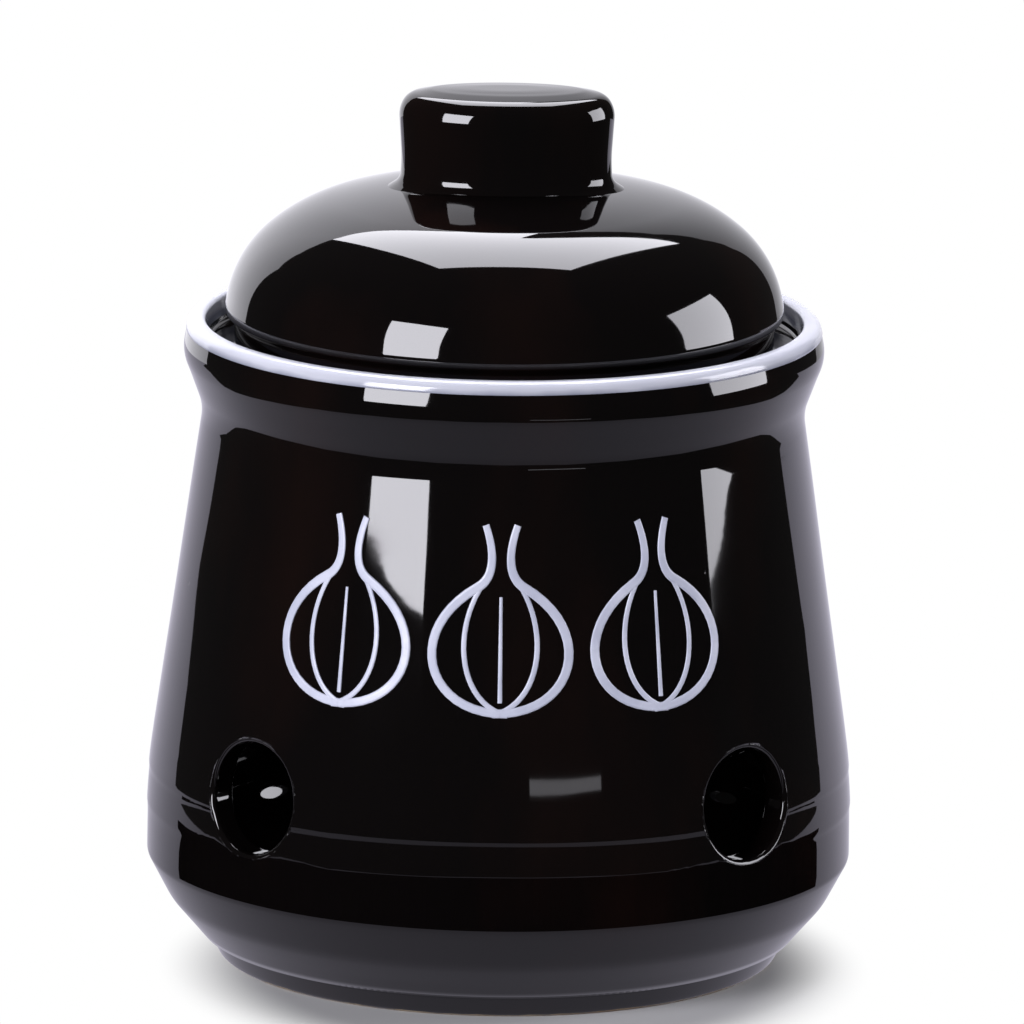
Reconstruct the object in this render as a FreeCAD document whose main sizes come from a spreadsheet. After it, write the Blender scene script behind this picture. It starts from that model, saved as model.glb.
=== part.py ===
import FreeCAD, Part
import math
import os
import Sketcher

# A ceramic garlic keeper: a ventilated stoneware jar and its lift-off lid.
# Millimetres, +Z up. The origin is on the table, on the jar's axis, and the decorated front faces -Y.
# Every round piece is turned from one outline, drawn in the X-Z plane and swept round the Z axis.

Vector = FreeCAD.Vector

# name, size in mm (or a count or an angle in degrees), what it sets
SIZES = (
    # foot ring
    ("foot_radius", 47.5, "outer edge of the foot ring on the table"),
    ("foot_width", 5.5, "width of the foot ring on the table"),
    ("foot_height", 4.1, "height of the foot ring"),
    ("foot_flare", 3.5, "how much wider the foot ring is at its top"),
    ("foot_rounding", 0.8, "rounding of the foot ring's two lower edges"),
    # jar, outside
    ("base_radius", 52.5, "outer edge of the jar's underside, just above the foot"),
    ("heel_radius", 61.85, "corner where the underside turns up into the belly"),
    ("heel_height", 14.6, "height of that corner"),
    ("heel_rounding", 15.9, "rounding of that corner"),
    ("belly_radius", 62.56, "widest corner of the belly"),
    ("belly_height", 31.1, "height of that corner"),
    ("belly_rounding", 112.7, "rounding of the belly"),
    ("rim_height", 114.0, "top of the lip"),
    ("neck_inset", 3.54, "how much narrower the neck is than the lip"),
    ("neck_drop", 15.8, "height of the neck below the top of the lip"),
    ("neck_rounding", 9.58, "rounding of the neck"),
    ("lip_radius", 56.32, "widest corner of the lip"),
    ("lip_drop", 6.3, "height of that corner below the top of the lip"),
    ("lip_rounding", 2.2, "rounding of that corner"),
    # lip and its band of pale glaze
    ("crest_inset", 0.9, "outer edge of the lip's crest, inside its widest corner"),
    ("lip_width", 2.92, "thickness of the lip at its crest"),
    ("crest_outer_rounding", 1.9, "outer rounding of the crest"),
    ("crest_inner_rounding", 0.8, "inner rounding of the crest"),
    ("band_inset", 0.6, "lower edge of the pale band, inside the lip's widest corner"),
    ("band_drop", 2.0, "how far the band reaches down outside"),
    ("band_inner_drop", 1.0, "how far the band reaches down inside"),
    ("band_thickness", 0.4, "thickness of the band's glaze"),
    # jar, inside
    ("wall", 5.0, "thickness of the jar's wall"),
    ("floor_thickness", 6.0, "thickness of the jar's floor"),
    ("floor_rounding", 12.0, "rounding between the floor and the wall, inside"),
    ("gallery_depth", 5.0, "depth of the lid's ledge below the top of the lip"),
    ("ledge_width", 7.5, "width of the ledge"),
    ("ledge_thickness", 5.0, "thickness of the ledge at the mouth"),
    ("ledge_rounding", 0.8, "rounding of the ledge's corners"),
    ("ledge_slope", 4.5, "height over which the ledge runs out into the wall below"),
    ("slope_rounding", 6.0, "rounding where it meets the wall"),
    # vents
    ("vent_count", 4, "round vents in the belly"),
    ("vent_angle", 45.0, "angle of the first vent from the X axis"),
    ("vent_radius", 10.0, "radius of a vent"),
    ("vent_height", 37.0, "height of the vents' centres"),
    ("vent_rounding", 1.3, "rounding of the vents' outer edges"),
    ("vent_inner_rounding", 0.8, "rounding of the vents' inner edges"),
    # lid
    ("seat_gap", 0.2, "gap between the lid's seat and the ledge"),
    ("gallery_clearance", 5.1, "gap between the lid's lower wall and the gallery"),
    ("edge_clearance", 3.57, "gap between the lid's widest edge and the gallery's radius"),
    ("seat_rounding", 0.8, "rounding of the lid's lowest outer edge"),
    ("edge_drop", 23.4, "height of the lid's edge below the crown"),
    ("edge_height", 2.2, "height of the upright part of the edge"),
    ("edge_slope", 1.1, "height over which the edge turns under"),
    ("edge_rounding", 0.8, "rounding of the edge's lower corner"),
    ("edge_upper_rounding", 6.0, "rounding of the edge's upper corner"),
    ("crown_height", 29.0, "height of the crown above the lid's seat"),
    ("crown_inset", 29.4, "where the crown starts to fall, inside the lid's edge"),
    ("crown_rounding", 86.0, "rounding of the crown"),
    ("shoulder_inset", 12.5, "corner of the shoulder, inside the lid's edge"),
    ("shoulder_drop", 4.42, "height of that corner below the crown"),
    ("shoulder_rounding", 29.0, "rounding of the shoulder"),
    ("side_inset", 1.78, "corner above the lid's edge, inside that edge"),
    ("side_drop", 12.9, "height of that corner below the crown"),
    ("side_rounding", 19.9, "rounding of that corner"),
    ("lid_wall", 4.5, "thickness of the lid's dome"),
    # locating flange under the lid
    ("mouth_clearance", 1.0, "play between the flange and the jar's mouth"),
    ("flange_thickness", 4.0, "thickness of the flange"),
    ("flange_depth", 6.0, "how far the flange reaches down into the mouth"),
    ("flange_rounding", 1.2, "rounding of the flange's lower edges"),
    # knob
    ("knob_length", 36.8, "the oval knob's length along X at its waist"),
    ("knob_depth", 22.6, "the oval knob's depth along Y at its waist"),
    ("knob_height", 16.8, "height of the knob above the crown"),
    ("knob_swell", 0.6, "how far the knob's upper part stands out past its waist"),
    ("knob_waist_height", 4.6, "height of the waist above the crown"),
    ("knob_waist_rounding", 30.0, "rounding of the waist"),
    ("knob_edge_drop", 0.6, "how much lower the top's edge is than its middle"),
    ("knob_edge_rounding", 3.7, "rounding of the top's edge"),
    ("knob_top_radius", 8.0, "where the crowned top starts to fall"),
    ("knob_top_rounding", 140.0, "rounding of the crowned top"),
    ("knob_foot_drop", 0.6, "height of the knob's foot below the crown, at the knob's ends"),
    ("knob_foot_flare", 0.3, "how much wider the foot is than the waist"),
    ("knob_foot_rounding", 1.8, "rounding between the knob's foot and the dome"),
    ("knob_foot_spread", 3.6, "how far the foot's skirt would run out onto the dome"),
    ("knob_foot_dive", 1.3, "how far that skirt falls on its way"),
    ("knob_wall", 4.6, "thickness of the hollow knob's wall"),
    ("knob_hollow_rounding", 3.0, "rounding at the top of the hollow"),
    # fired-on decoration
    ("motif_count", 3, "bulbs drawn across the front"),
    ("motif_pitch", 28.0, "distance along the wall from one bulb's middle to the next"),
    ("motif_width", 24.0, "width of one drawn bulb"),
    ("motif_height", 34.0, "height of one drawn bulb"),
    ("motif_drop", 8.7, "top of the bulbs below the jar's neck"),
    ("stroke_width", 1.6, "width of the drawn lines"),
    ("stroke_thickness", 0.25, "thickness of the fired-on layer"),
)

STROKE_POINT_COUNT = 13  # points along each drawn line, joined by a smooth curve
SIDE_SHARE = 0.995  # the most of a side that its two roundings may take up
NOTHING = 1e-9  # a size under this one is zero
TOUCHING = 0.01  # how near an edge's points lie to a vent's cylinder
EDGE_POINT_COUNT = 5  # points that show which curve an edge follows
START, END, CENTRE = range(1, 4)  # a sketch's numbers for the points of a line, an arc or a circle
H_AXIS, V_AXIS = -START, -END  # its numbers for its own axes; the start of the first is its origin


def add_sizes(doc):
    """The sheet of driving dimensions, one row each: size, name and note."""
    sheet = doc.addObject("Spreadsheet::Sheet", "dims")
    for row, (name, size, note) in enumerate(SIZES, start=1):
        sheet.set(f"A{row}", str(size))
        sheet.setAlias(f"A{row}", name)
        sheet.set(f"B{row}", name)
        sheet.set(f"C{row}", note)
    doc.recompute()
    return sheet


def value(sheet, expression):
    """A size worked out from the sheet, as a plain number."""
    return float(sheet.evalExpression(expression.replace("dims.", "")))


# Outlines: lists of corners, each (radius, height, rounding) as expressions of the sheet's cells.

LEDGE = "(dims.rim_height - dims.gallery_depth)"
SEAT = f"({LEDGE} + dims.seat_gap)"
CROWN = f"({SEAT} + dims.crown_height)"
CREST_RADIUS = "(dims.lip_radius - dims.crest_inset)"
GALLERY_RADIUS = f"({CREST_RADIUS} - dims.lip_width)"
MOUTH_RADIUS = f"({GALLERY_RADIUS} - dims.ledge_width)"
FLANGE_RADIUS = f"({MOUTH_RADIUS} - dims.mouth_clearance)"
FLANGE_INNER_RADIUS = f"({FLANGE_RADIUS} - dims.flange_thickness)"
NECK_RADIUS = "(dims.lip_radius - dims.neck_inset)"
NECK_HEIGHT = "(dims.rim_height - dims.neck_drop)"
KNOB_WAIST = "dims.knob_length / 2"
KNOB_TOP = f"({CROWN} + dims.knob_height)"
EDGE_RADIUS = f"({GALLERY_RADIUS} - dims.edge_clearance)"
MOTIF_BOTTOM = f"({NECK_HEIGHT} - dims.motif_drop - dims.motif_height)"


def inset(sheet, corners, wall, first, last):
    """Corners first to last of an outline, moved in square to its sides by the wall, roundings and all."""
    points = [Vector(value(sheet, r), value(sheet, z), 0) for r, z, rounding in corners]
    moved = []
    for index in range(first, last + 1):
        before = (points[index] - points[index - 1]).normalize()
        after = (points[index + 1] - points[index]).normalize()
        share = 1 / (1 + before.dot(after))
        across = (before.y + after.y) * share
        along = (before.x + after.x) * share
        sign = "-" if before.cross(after).z > 0 else "+"
        r, z, rounding = corners[index]
        new_r = f"{r} - {wall} * {across:.6f}"
        new_z = f"{z} + {wall} * {along:.6f}"
        moved.append((new_r, new_z, f"{rounding} {sign} {wall}"))
    return moved


def jar_outside():
    """The jar's outside from the underside up to the pale band, anticlockwise."""
    return [
        ("dims.base_radius", "dims.foot_height", "0"),
        ("dims.heel_radius", "dims.heel_height", "dims.heel_rounding"),
        ("dims.belly_radius", "dims.belly_height", "dims.belly_rounding"),
        (NECK_RADIUS, NECK_HEIGHT, "dims.neck_rounding"),
        ("dims.lip_radius", "dims.rim_height - dims.lip_drop", "dims.lip_rounding"),
        ("dims.lip_radius - dims.band_inset", "dims.rim_height - dims.band_drop", "0"),
    ]


def crest(depth):
    """The lip's crest from the band's outer lower edge to its inner one, at a depth below the glaze."""
    return [
        (f"dims.lip_radius - dims.band_inset - {depth}", "dims.rim_height - dims.band_drop", "0"),
        (f"{CREST_RADIUS} - {depth}", f"dims.rim_height - {depth}", f"dims.crest_outer_rounding - {depth}"),
        (f"{GALLERY_RADIUS} + {depth}", f"dims.rim_height - {depth}", f"dims.crest_inner_rounding - {depth}"),
        (f"{GALLERY_RADIUS} + {depth}", "dims.rim_height - dims.band_inner_drop", "0"),
    ]


def jar_outline(sheet):
    """The jar's whole section: outside, crest under the band, gallery, mouth, inner wall and floor."""
    outside = jar_outside()
    inner_heel, inner_belly = inset(sheet, outside, "dims.wall", 1, 2)
    floor = "dims.foot_height + dims.floor_thickness"
    below_ledge = f"{LEDGE} - dims.ledge_thickness"
    return outside + crest("dims.band_thickness") + [
        (GALLERY_RADIUS, "dims.rim_height - dims.band_inner_drop", "0"),
        (GALLERY_RADIUS, LEDGE, "dims.ledge_rounding"),
        (MOUTH_RADIUS, LEDGE, "dims.ledge_rounding"),
        (MOUTH_RADIUS, below_ledge, "dims.ledge_rounding"),
        (f"{NECK_RADIUS} - dims.wall", f"{below_ledge} - dims.ledge_slope", "dims.slope_rounding"),
        inner_belly,
        (inner_heel[0], floor, "dims.floor_rounding"),
        ("0", floor, "0"),
        ("0", "dims.foot_height", "0"),
    ]


def foot_outline():
    """The foot ring's section."""
    inner_radius = "dims.foot_radius - dims.foot_width"
    return [
        ("dims.foot_radius", "0", "dims.foot_rounding"),
        ("dims.foot_radius + dims.foot_flare", "dims.foot_height", "0"),
        (inner_radius, "dims.foot_height", "0"),
        (inner_radius, "0", "dims.foot_rounding"),
    ]


def band_outline():
    """The pale glaze on the crest: its surface, and back along the clay under it."""
    return crest("0") + list(reversed(crest("dims.band_thickness")))


def lid_outside():
    """The lid's outside from its seat up to the middle of the crown, anticlockwise."""
    edge = f"({CROWN} - dims.edge_drop)"
    lower_radius = f"({GALLERY_RADIUS} - dims.gallery_clearance)"
    return [
        (lower_radius, SEAT, "dims.seat_rounding"),
        (lower_radius, f"{edge} - dims.edge_slope", "dims.edge_rounding"),
        (EDGE_RADIUS, edge, "dims.edge_rounding"),
        (EDGE_RADIUS, f"{edge} + dims.edge_height", "dims.edge_upper_rounding"),
        (f"{EDGE_RADIUS} - dims.side_inset", f"{CROWN} - dims.side_drop", "dims.side_rounding"),
        (f"{EDGE_RADIUS} - dims.shoulder_inset", f"{CROWN} - dims.shoulder_drop", "dims.shoulder_rounding"),
        (f"{EDGE_RADIUS} - dims.crown_inset", CROWN, "dims.crown_rounding"),
        ("0", CROWN, "0"),
    ]


def lid_outline(sheet):
    """The lid's section: outside, and back under the dome to the top of the flange."""
    outside = lid_outside()
    inside = inset(sheet, outside, "dims.lid_wall", 3, 6)
    return outside + [("0", f"{CROWN} - dims.lid_wall", "0")] + list(reversed(inside)) + [
        (FLANGE_INNER_RADIUS, SEAT, "0"),
    ]


def flange_outline():
    """The section of the locating flange, from the lid's seat down into the mouth."""
    low = f"{SEAT} - dims.flange_depth"
    return [
        (FLANGE_RADIUS, low, "dims.flange_rounding"),
        (FLANGE_RADIUS, SEAT, "0"),
        (FLANGE_INNER_RADIUS, SEAT, "0"),
        (FLANGE_INNER_RADIUS, low, "dims.flange_rounding"),
    ]


def knob_outline():
    """Half of the knob's section along its length. Its skirt dives into the dome."""
    foot = f"({CROWN} - dims.knob_foot_drop)"
    below = f"{foot} - dims.knob_foot_dive"
    return [
        ("0", below, "0"),
        (f"{KNOB_WAIST} + dims.knob_foot_flare + dims.knob_foot_spread", below, "0"),
        (f"{KNOB_WAIST} + dims.knob_foot_flare", foot, "dims.knob_foot_rounding"),
        (KNOB_WAIST, f"{CROWN} + dims.knob_waist_height", "dims.knob_waist_rounding"),
        (f"{KNOB_WAIST} + dims.knob_swell", f"{KNOB_TOP} - dims.knob_edge_drop", "dims.knob_edge_rounding"),
        ("dims.knob_top_radius", KNOB_TOP, "dims.knob_top_rounding"),
        ("0", KNOB_TOP, "0"),
    ]


def hollow_outline():
    """Half of the section of the knob's hollow, which is open to the hollow of the lid."""
    radius = f"{KNOB_WAIST} - dims.knob_wall"
    below = f"{CROWN} - dims.lid_wall - dims.knob_wall"
    top = f"{KNOB_TOP} - dims.knob_wall"
    return [
        ("0", below, "0"),
        (radius, below, "0"),
        (radius, top, "dims.knob_hollow_rounding"),
        ("0", top, "0"),
    ]


def dome_outline():
    """Everything under the dome's outer surface."""
    return lid_outside()[3:] + [("0", SEAT, "0"), (EDGE_RADIUS, SEAT, "0")]


def skin_outline(sheet):
    """The fired-on layer's section: up at the layer's thickness, and back down along the jar's outside."""
    outside = jar_outside()
    layer = "dims.stroke_thickness"
    low_radius, low_height, low_rounding = outside[0]
    high_radius, high_height, high_rounding = outside[-1]
    surface = inset(sheet, outside, f"(-{layer})", 1, len(outside) - 2)
    return (
        [(f"{low_radius} + {layer}", low_height, low_rounding)]
        + surface
        + [(f"{high_radius} + {layer}", high_height, high_rounding)]
        + list(reversed(outside))
    )


def shared_sides(points, roundings):
    """How much of each rounding the sides beside it have room for, from 0 to 1."""
    count = len(points)
    lengths = [(points[index] - points[index - 1]).Length for index in range(count)]
    setbacks = []
    for index, point in enumerate(points):
        turn = (point - points[index - 1]).getAngle(points[(index + 1) % count] - point)
        setbacks.append(roundings[index] * math.tan(turn / 2))
    shares = []
    for index in range(count):
        after = (index + 1) % count
        needs = (
            (setbacks[index - 1] + setbacks[index]) / lengths[index],
            (setbacks[index] + setbacks[after]) / lengths[after],
        )
        shares.append(min(1.0, SIDE_SHARE / max(*needs, SIDE_SHARE)))
    return shares


def draw_outline(sheet, sketch, corners):
    """Straight sides joined by tangent arcs, fully constrained: each corner is held by its two sizes and each
    rounding by its own, limited only by the sides that it shares with its neighbours."""
    points = [Vector(value(sheet, r), value(sheet, z), 0) for r, z, rounding in corners]
    roundings = [value(sheet, rounding) for r, z, rounding in corners]
    shares = shared_sides(points, roundings)
    count = len(corners)

    def add(kind, *references):
        return sketch.addConstraint(Sketcher.Constraint(kind, *references))

    def hold(kind, geometry, position, expression):
        size = value(sheet, expression)
        if abs(size) < NOTHING:
            add("PointOnObject", geometry, position, V_AXIS if kind == "DistanceX" else H_AXIS)
        else:
            distance = add(kind, H_AXIS, START, geometry, position, size)
            sketch.setExpression(f"Constraints[{distance}]", expression)

    arcs = []
    for index, point in enumerate(points):
        before = (point - points[index - 1]).normalize()
        after = (points[(index + 1) % count] - point).normalize()
        radius = roundings[index] * shares[index]
        setback = radius * math.tan(before.getAngle(after) / 2)
        side = math.copysign(1, before.cross(after).z)
        start = point - before * setback
        centre = start + Vector(-before.y, before.x, 0) * side * radius
        arcs.append((start, point + after * setback, centre, side, radius))

    lines = []
    for index in range(count):
        lines.append(sketch.addGeometry(Part.LineSegment(arcs[index - 1][1], arcs[index][0]), False))
    for index, (r, z, rounding) in enumerate(corners):
        line, following = lines[index], lines[(index + 1) % count]
        start, end, centre, side, radius = arcs[index]
        if radius < NOTHING:
            add("Coincident", line, END, following, START)
            hold("DistanceX", line, END, r)
            hold("DistanceY", line, END, z)
            continue
        turned = [math.atan2((bound - centre).y, (bound - centre).x) for bound in (start, end)]
        near, far = (START, END) if side > 0 else (END, START)
        if side < 0:
            turned.reverse()
        circle = Part.Circle(centre, Vector(0, 0, 1), radius)
        arc = sketch.addGeometry(Part.ArcOfCircle(circle, *turned), False)
        add("Tangent", line, END, arc, near)
        add("Tangent", arc, far, following, START)
        held = add("Radius", arc, radius)
        limit = "" if shares[index] == 1 else f" * {shares[index]:.6f}"
        sketch.setExpression(f"Constraints[{held}]", f"({rounding}){limit}")
        corner = sketch.addGeometry(Part.Point(points[index]), True)
        add("PointOnObject", corner, START, line)
        add("PointOnObject", corner, START, following)
        hold("DistanceX", corner, START, r)
        hold("DistanceY", corner, START, z)


def new_body(doc, label):
    body = doc.addObject("PartDesign::Body", label)
    body.Label = label
    body.Placement = FreeCAD.Placement()
    return body


def new_sketch(body, name, role):
    """A sketch on one of the body's own origin planes."""
    sketch = body.newObject("Sketcher::SketchObject", name)
    plane = next(feature for feature in body.Origin.OriginFeatures if feature.Role == role)
    sketch.AttachmentSupport = (plane, [""])
    sketch.MapMode = "FlatFace"
    return sketch


def turned_body(doc, sheet, label, corners):
    """A body turned from its outline round the Z axis."""
    body = new_body(doc, label)
    sketch = new_sketch(body, f"{label}_outline", "XZ_Plane")
    draw_outline(sheet, sketch, corners)
    turning = body.newObject("PartDesign::Revolution", f"{label}_turning")
    turning.Profile = sketch
    turning.ReferenceAxis = (sketch, ["V_Axis"])
    turning.Angle = 360
    doc.recompute()
    return body


def origin_axis(body, role):
    return next(feature for feature in body.Origin.OriginFeatures if feature.Role == role)


def vent_edges(sheet, shape):
    """Names of the edges where the vents leave the wall: those outside, and those inside."""
    radius = value(sheet, "dims.vent_radius")
    centre = Vector(0, 0, value(sheet, "dims.vent_height"))
    count = round(value(sheet, "dims.vent_count"))
    depths = {}
    for turn in range(count):
        angle = math.radians(value(sheet, "dims.vent_angle") + 360 / count * turn)
        axis = Vector(math.cos(angle), math.sin(angle), 0)
        for number, edge in enumerate(shape.Edges, start=1):
            points = [point - centre for point in edge.discretize(EDGE_POINT_COUNT)]
            along = [point.dot(axis) for point in points]
            across = [abs(point.cross(axis).Length - radius) for point in points]
            if max(across) < TOUCHING and min(along) > 0:
                depths[f"Edge{number}"] = sum(along) / len(along)
    middle = (min(depths.values()) + max(depths.values())) / 2
    outer = [name for name, depth in depths.items() if depth > middle]
    inner = [name for name, depth in depths.items() if depth <= middle]
    return outer, inner


def soften(doc, body, name, edges, size):
    """Round some edges of the body's last feature."""
    base = body.Tip
    rounding = body.newObject("PartDesign::Fillet", name)
    rounding.Base = (base, edges)
    rounding.setExpression("Radius", size)
    body.Tip = rounding
    doc.recompute()


def make_jar(doc, sheet):
    """The jar: turned, then cut through by the vents, whose edges are softened."""
    body = turned_body(doc, sheet, "jar_body", jar_outline(sheet))
    solid_volume = body.Shape.Volume
    sketch = new_sketch(body, "vent_outline", "YZ_Plane")
    sketch.AttachmentOffset = FreeCAD.Placement(Vector(), Vector(0, 1, 0), value(sheet, "dims.vent_angle"))
    sketch.setExpression("AttachmentOffset.Rotation.Angle", "dims.vent_angle")
    centre = Vector(0, value(sheet, "dims.vent_height"), 0)
    radius = value(sheet, "dims.vent_radius")
    circle = sketch.addGeometry(Part.Circle(centre, Vector(0, 0, 1), radius), False)
    sketch.addConstraint(Sketcher.Constraint("PointOnObject", circle, CENTRE, V_AXIS))
    held = sketch.addConstraint(Sketcher.Constraint("Radius", circle, radius))
    sketch.setExpression(f"Constraints[{held}]", "dims.vent_radius")
    held = sketch.addConstraint(Sketcher.Constraint("DistanceY", H_AXIS, START, circle, CENTRE, centre.y))
    sketch.setExpression(f"Constraints[{held}]", "dims.vent_height")
    doc.recompute()

    vent = body.newObject("PartDesign::Pocket", "vent")
    vent.Profile = sketch
    vent.Type = "ThroughAll"
    vent.Reversed = True
    doc.recompute()
    one_vent = solid_volume - body.Shape.Volume

    vents = body.newObject("PartDesign::PolarPattern", "vents")
    vents.Originals = [vent]
    vents.Axis = (origin_axis(body, "Z_Axis"), [""])
    vents.Angle = 360
    vents.setExpression("Occurrences", "dims.vent_count")
    body.Tip = vents
    doc.recompute()
    all_vents = solid_volume - body.Shape.Volume
    wanted = round(value(sheet, "dims.vent_count")) * one_vent
    if one_vent <= 0 or abs(all_vents - wanted) > 0.01 * wanted:
        raise RuntimeError("the vents don't cut the wall as they should")

    outer, inner = vent_edges(sheet, body.Shape)
    soften(doc, body, "vent_outer_edges", outer, "dims.vent_rounding")
    outer, inner = vent_edges(sheet, body.Shape)
    soften(doc, body, "vent_inner_edges", inner, "dims.vent_inner_rounding")
    return body


def make_lid(doc, sheet):
    """The lid's dome, with an oval opening from its hollow up into the knob's."""
    body = turned_body(doc, sheet, "lid_shell", lid_outline(sheet))
    solid_volume = body.Shape.Volume
    half_length = value(sheet, f"{KNOB_WAIST} - dims.knob_wall")
    half_depth = value(sheet, "dims.knob_depth / 2 - dims.knob_wall")
    sketch = new_sketch(body, "knob_opening_outline", "XY_Plane")
    ellipse = sketch.addGeometry(Part.Ellipse(Vector(), half_length, half_depth), False)
    sketch.exposeInternalGeometry(ellipse)
    long_axis, short_axis = ellipse + 1, ellipse + 2
    sketch.addConstraint(Sketcher.Constraint("Coincident", ellipse, CENTRE, H_AXIS, START))
    sketch.addConstraint(Sketcher.Constraint("Horizontal", long_axis))
    for axis, outer in ((long_axis, "dims.knob_length"), (short_axis, "dims.knob_depth")):
        size = f"{outer} - dims.knob_wall * 2"
        held = sketch.addConstraint(Sketcher.Constraint("Distance", axis, value(sheet, size)))
        sketch.setExpression(f"Constraints[{held}]", size)
    opening = body.newObject("PartDesign::Pocket", "knob_opening")
    opening.Profile = sketch
    opening.Type = "ThroughAll"
    opening.Reversed = True
    doc.recompute()
    if body.Shape.Volume >= solid_volume:
        raise RuntimeError("the opening under the knob cuts nothing")
    return body


def flattened(shape, share):
    """A round shape made oval: squeezed along Y to a share of its width."""
    squeeze = FreeCAD.Matrix()
    squeeze.scale(1, share, 1)
    return shape.transformGeometry(squeeze)


def make_knob(doc, sheet):
    """The oval knob: a turned blank squeezed to its depth, hollowed, and cut to lie on the dome."""
    blank = turned_body(doc, sheet, "knob_blank", knob_outline())
    hollow = turned_body(doc, sheet, "knob_hollow", hollow_outline())
    dome = turned_body(doc, sheet, "dome_form", dome_outline())
    knob = doc.addObject("Part::Feature", "lid_knob")
    knob.Label = "lid_knob"
    outside = flattened(blank.Shape, value(sheet, "dims.knob_depth / dims.knob_length"))
    inner_share = "(dims.knob_depth / 2 - dims.knob_wall) / (dims.knob_length / 2 - dims.knob_wall)"
    inside = flattened(hollow.Shape, value(sheet, inner_share))
    knob.Shape = outside.cut(dome.Shape).cut(inside)
    knob.Placement = FreeCAD.Placement()
    return knob


def bezier(poles, count):
    """Points along a cubic curve drawn by its four poles."""
    curve = Part.BezierCurve()
    curve.setPoles(poles)
    return [curve.value(step / (count - 1)) for step in range(count)]


def stroke(points, width):
    """A face as wide as the pen along a drawn line, in the X-Z plane."""
    sides = ([], [])
    for index, point in enumerate(points):
        along = points[min(index + 1, len(points) - 1)] - points[max(index - 1, 0)]
        across = Vector(-along.z, 0, along.x).normalize() * (width / 2)
        sides[0].append(point + across)
        sides[1].append(point - across)
    edges = []
    for side in sides:
        curve = Part.BSplineCurve()
        curve.interpolate(side)
        edges.append(curve.toShape())
    edges.append(Part.makeLine(sides[0][0], sides[1][0]))
    edges.append(Part.makeLine(sides[0][-1], sides[1][-1]))
    return Part.Face(Part.Wire(Part.__sortEdges__(edges)))


def drawn_bulb(sheet):
    """One garlic bulb in thin lines: outline, two clove lines and a root plate, as a flat face."""
    width = value(sheet, "dims.motif_width")
    height = value(sheet, "dims.motif_height")
    pen = value(sheet, "dims.stroke_width")
    bottom = value(sheet, MOTIF_BOTTOM) + pen / 2

    def place(across, up):
        return Vector(across * width, 0, bottom + up * (height - pen))

    def line(*poles):
        return stroke(bezier([place(*pole) for pole in poles], STROKE_POINT_COUNT), pen)

    faces = [line((-0.14, 0.0), (-0.05, 0.01), (0.05, 0.01), (0.14, 0.0))]
    for side in (-1, 1):
        faces.append(line((side * 0.08, 0.0), (side * 0.62, 0.02), (side * 0.66, 0.46), (side * 0.16, 0.68)))
        faces.append(line((side * 0.175, 0.67), (side * 0.05, 0.74), (side * 0.06, 0.88), (side * 0.10, 1.0)))
        faces.append(line((side * 0.03, 0.0), (side * 0.30, 0.12), (side * 0.30, 0.46), (side * 0.06, 0.68)))
    return faces[0].multiFuse(faces[1:]).removeSplitter()


def make_motif(doc, sheet):
    """The fired-on decoration: the same drawn bulb, repeated round the front of the wall."""
    skin = turned_body(doc, sheet, "motif_skin", skin_outline(sheet))
    reach = Vector(0, value(sheet, "dims.belly_radius") * 2, 0)
    drawing = drawn_bulb(sheet)
    drawing.translate(-reach)
    bulb = drawing.extrude(reach).common(skin.Shape)
    count = round(value(sheet, "dims.motif_count"))
    radius = value(sheet, f"(dims.belly_radius + {NECK_RADIUS}) / 2")
    step = math.degrees(value(sheet, "dims.motif_pitch") / radius)
    bulbs = []
    for index in range(count):
        copy = bulb.copy()
        copy.rotate(Vector(), Vector(0, 0, 1), step * (index - (count - 1) / 2))
        bulbs.extend(copy.Solids)
    motif = doc.addObject("Part::Feature", "front_motif")
    motif.Label = "front_motif"
    motif.Shape = Part.makeCompound(bulbs)
    motif.Placement = FreeCAD.Placement()
    return motif


def check_and_write(doc, pieces):
    """Write each piece to its file, once every object is sound."""
    for item in doc.Objects:
        if {"Invalid", "Error"} & set(item.State):
            raise RuntimeError(f"{item.Label} failed: {item.State}")
    for piece in pieces:
        if piece.Shape.isNull() or not piece.Shape.isValid() or not piece.Shape.Solids:
            raise RuntimeError(f"{piece.Label} has no sound shape")
    os.makedirs("parts", exist_ok=True)
    for piece in pieces:
        piece.Shape.exportStep(f"parts/{piece.Label}.step")
        print(piece.Label, len(piece.Shape.Solids), "solids", round(piece.Shape.Volume / 1000, 2), "cm3")


def main():
    doc = FreeCAD.newDocument("garlic_keeper")
    sheet = add_sizes(doc)
    pieces = [
        make_jar(doc, sheet),
        turned_body(doc, sheet, "foot_ring", foot_outline()),
        turned_body(doc, sheet, "rim_band", band_outline()),
        make_motif(doc, sheet),
        make_lid(doc, sheet),
        turned_body(doc, sheet, "lid_flange", flange_outline()),
        make_knob(doc, sheet),
    ]
    doc.recompute()
    check_and_write(doc, pieces)


main()
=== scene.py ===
import bisect
import math

import bmesh
import bpy
from mathutils import Matrix, Quaternion, Vector, noise


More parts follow.
